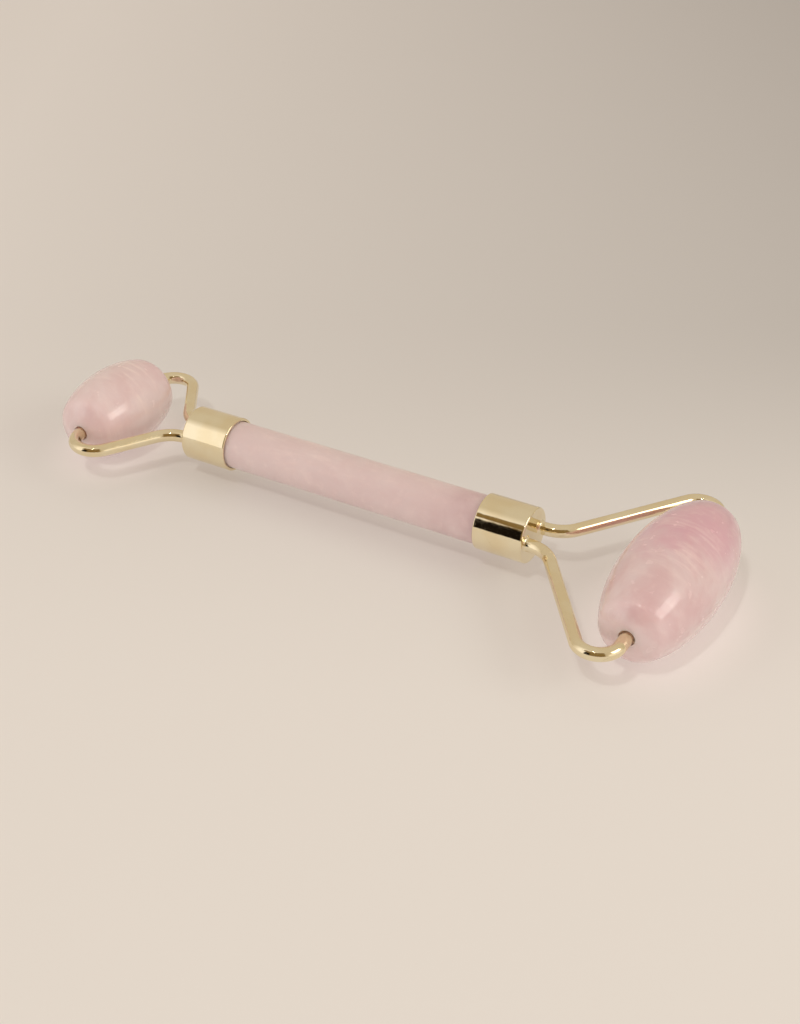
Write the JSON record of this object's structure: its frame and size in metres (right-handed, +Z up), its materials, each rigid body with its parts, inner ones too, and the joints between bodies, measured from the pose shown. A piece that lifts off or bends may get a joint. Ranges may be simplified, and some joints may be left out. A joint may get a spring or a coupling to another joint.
{
  "type": "double-ended facial massage roller",
  "caption": "Stone rod handle with a plated ferrule and splayed wire yoke at each end, carrying a large and a small olive-shaped stone roller on running pins.",
  "frame": {"origin": "on the table, under the middle of the bounding box, with the roller lying on its two stones", "axes": "+X along the handle towards the large stone, +Y along the stones' spin axes, +Z up"},
  "size_m": [0.1454, 0.0582, 0.02],
  "materials": {
    "rose_quartz_handle": "satin-polished pale pink quartz",
    "rose_quartz_roller": "glossy polished pale pink quartz, cloudy and translucent",
    "gold_plate": "polished pale champagne-gold plating",
    "gold_wire": "polished pale champagne-gold plating on wire",
    "solder": "plated solder fillet",
    "sleeve_metal": "plain dull brass",
    "epoxy": "cured clear epoxy"
  },
  "bodies": {
    "frame": {"handle_rod": "rose_quartz_handle", "large_ferrule": "gold_plate", "large_glue": "epoxy", "large_arm_left": "gold_wire", "large_arm_right": "gold_wire", "large_solder_left": "solder", "large_solder_right": "solder", "small_ferrule": "gold_plate", "small_glue": "epoxy", "small_arm_left": "gold_wire", "small_arm_right": "gold_wire", "small_solder_left": "solder", "small_solder_right": "solder"},
    "large_roller": {"large_roller_stone": "rose_quartz_roller", "large_sleeve_left": "sleeve_metal", "large_sleeve_right": "sleeve_metal"},
    "small_roller": {"small_roller_stone": "rose_quartz_roller", "small_sleeve_left": "sleeve_metal", "small_sleeve_right": "sleeve_metal"}
  },
  "joints": [
    {"name": "large_roller_spin", "type": "hinge", "parent": "frame", "child": "large_roller", "pos_m": [0.0627, 0, 0.01], "axis": [0, 1, 0], "continuous": true},
    {"name": "small_roller_spin", "type": "hinge", "parent": "frame", "child": "small_roller", "pos_m": [-0.0639, 0, 0.0088], "axis": [0, 1, 0], "continuous": true}
  ]
}
